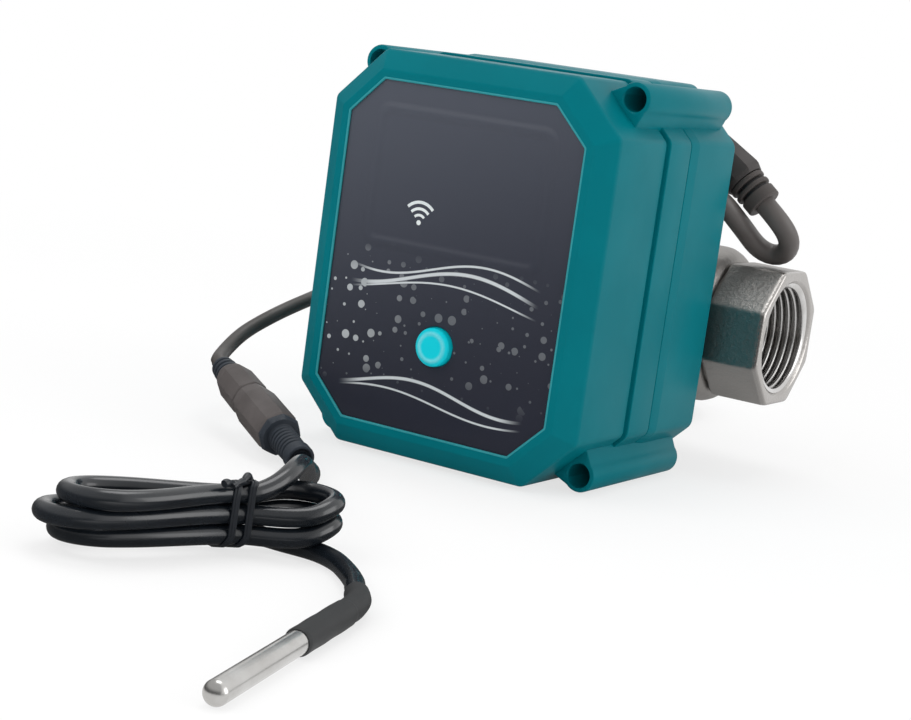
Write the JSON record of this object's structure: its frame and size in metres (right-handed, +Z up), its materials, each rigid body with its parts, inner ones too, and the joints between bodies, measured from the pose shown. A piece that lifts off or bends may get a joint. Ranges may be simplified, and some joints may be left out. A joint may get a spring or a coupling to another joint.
{
  "type": "smart water valve",
  "caption": "Motorised ball valve with a moulded actuator housing, push button, threaded pipe ends, power lead and a wired temperature probe.",
  "frame": {"origin": "centre of the box's foot without the leads, on the floor under the housing", "axes": "+X along the pipe to the right as seen from the label, +Y from the label to the valve, +Z up"},
  "size_m": [0.1388, 0.3324, 0.0906],
  "materials": {
    "teal_abs": "satin moulded ABS",
    "film": "glossy film",
    "button_plastic": "smooth plastic",
    "black_plastic": "moulded plastic",
    "board": "circuit board laminate",
    "terminal": "moulded terminal block",
    "tin_shield": "tinned shield",
    "zinc_screw": "zinc plated",
    "motor_steel": "drawn can",
    "gear_acetal": "moulded acetal",
    "brass": "turned brass",
    "stainless": "cast and machined stainless",
    "ball_steel": "polished stainless",
    "ptfe": "white seal plastic",
    "black_rubber": "moulded rubber",
    "grey_rubber": "moulded strain relief",
    "black_pvc": "glossy cable jacket",
    "grey_pvc": "cable jacket",
    "connector_plastic": "moulded connector",
    "shrink": "heat shrink"
  },
  "bodies": {
    "housing": {"front_cover": "teal_abs", "label_film": "film", "board_switch": "black_plastic", "circuit_board": "board", "radio_module": "tin_shield", "terminal_block": "terminal", "board_screws": "zinc_screw", "rear_cover": "teal_abs", "housing_gasket": "black_rubber", "case_screws": "zinc_screw", "gear_motor": "motor_steel", "gear_axles": "zinc_screw", "gearbox_plate": "black_plastic", "plate_screws": "zinc_screw", "motor_screws": "zinc_screw", "plate_bush": "brass", "limit_switches": "black_plastic", "valve_body": "stainless", "end_cap": "stainless", "cap_gasket": "ptfe", "ball_seats": "ptfe", "stem_packing": "ptfe", "gland_nut": "brass", "spigot_seal": "black_rubber", "flange_screws": "zinc_screw", "power_gland": "grey_rubber", "power_cord": "grey_pvc", "power_coil": "grey_pvc", "coil_tie": "black_plastic", "power_plug": "black_plastic", "probe_grommet": "grey_rubber", "probe_pigtail": "grey_pvc", "connector_socket": "connector_plastic", "connector_plug": "connector_plastic", "probe_lead_near": "black_pvc", "probe_hank": "black_pvc", "hank_tie": "black_plastic", "probe_lead_far": "black_pvc", "probe_sleeve": "shrink", "probe_tube": "stainless"},
    "button": {"manual_button": "button_plastic", "switch_plunger": "black_plastic"},
    "drive": {"output_gear": "gear_acetal", "output_shaft": "motor_steel", "position_cam": "black_plastic", "stem": "stainless", "ball": "ball_steel"},
    "second_gear": {"second_gear": "gear_acetal"},
    "first_gear": {"first_gear": "gear_acetal"},
    "motor_pinion": {"motor_pinion": "brass"}
  },
  "joints": [
    {"name": "button_press", "type": "slide", "parent": "housing", "child": "button", "axis": [0, 1, 0], "range_m": [0, 0.0005], "stiffness_N_per_m": 400},
    {"name": "valve_turn", "type": "hinge", "parent": "housing", "child": "drive", "pos_m": [0, 0.032, 0.034], "axis": [0, -1, 0], "range_deg": [0, 90]},
    {"name": "second_gear_spin", "type": "hinge", "parent": "housing", "child": "second_gear", "pos_m": [-0.01303, 0.032, 0.05656], "axis": [0, -1, 0], "range_deg": [-305, 5]},
    {"name": "first_gear_spin", "type": "hinge", "parent": "housing", "child": "first_gear", "pos_m": [0.00672, 0.032, 0.06004], "axis": [0, -1, 0], "range_deg": [-10, 960]},
    {"name": "pinion_spin", "type": "hinge", "parent": "housing", "child": "motor_pinion", "pos_m": [0.01515, 0.032, 0.07463], "axis": [0, -1, 0], "range_deg": [-3500, 20]}
  ],
  "couplings": [
    {"joint": "second_gear_spin", "follows": "valve_turn", "ratio": -3.3333},
    {"joint": "first_gear_spin", "follows": "valve_turn", "ratio": 10.556},
    {"joint": "pinion_spin", "follows": "valve_turn", "ratio": -38.704}
  ]
}
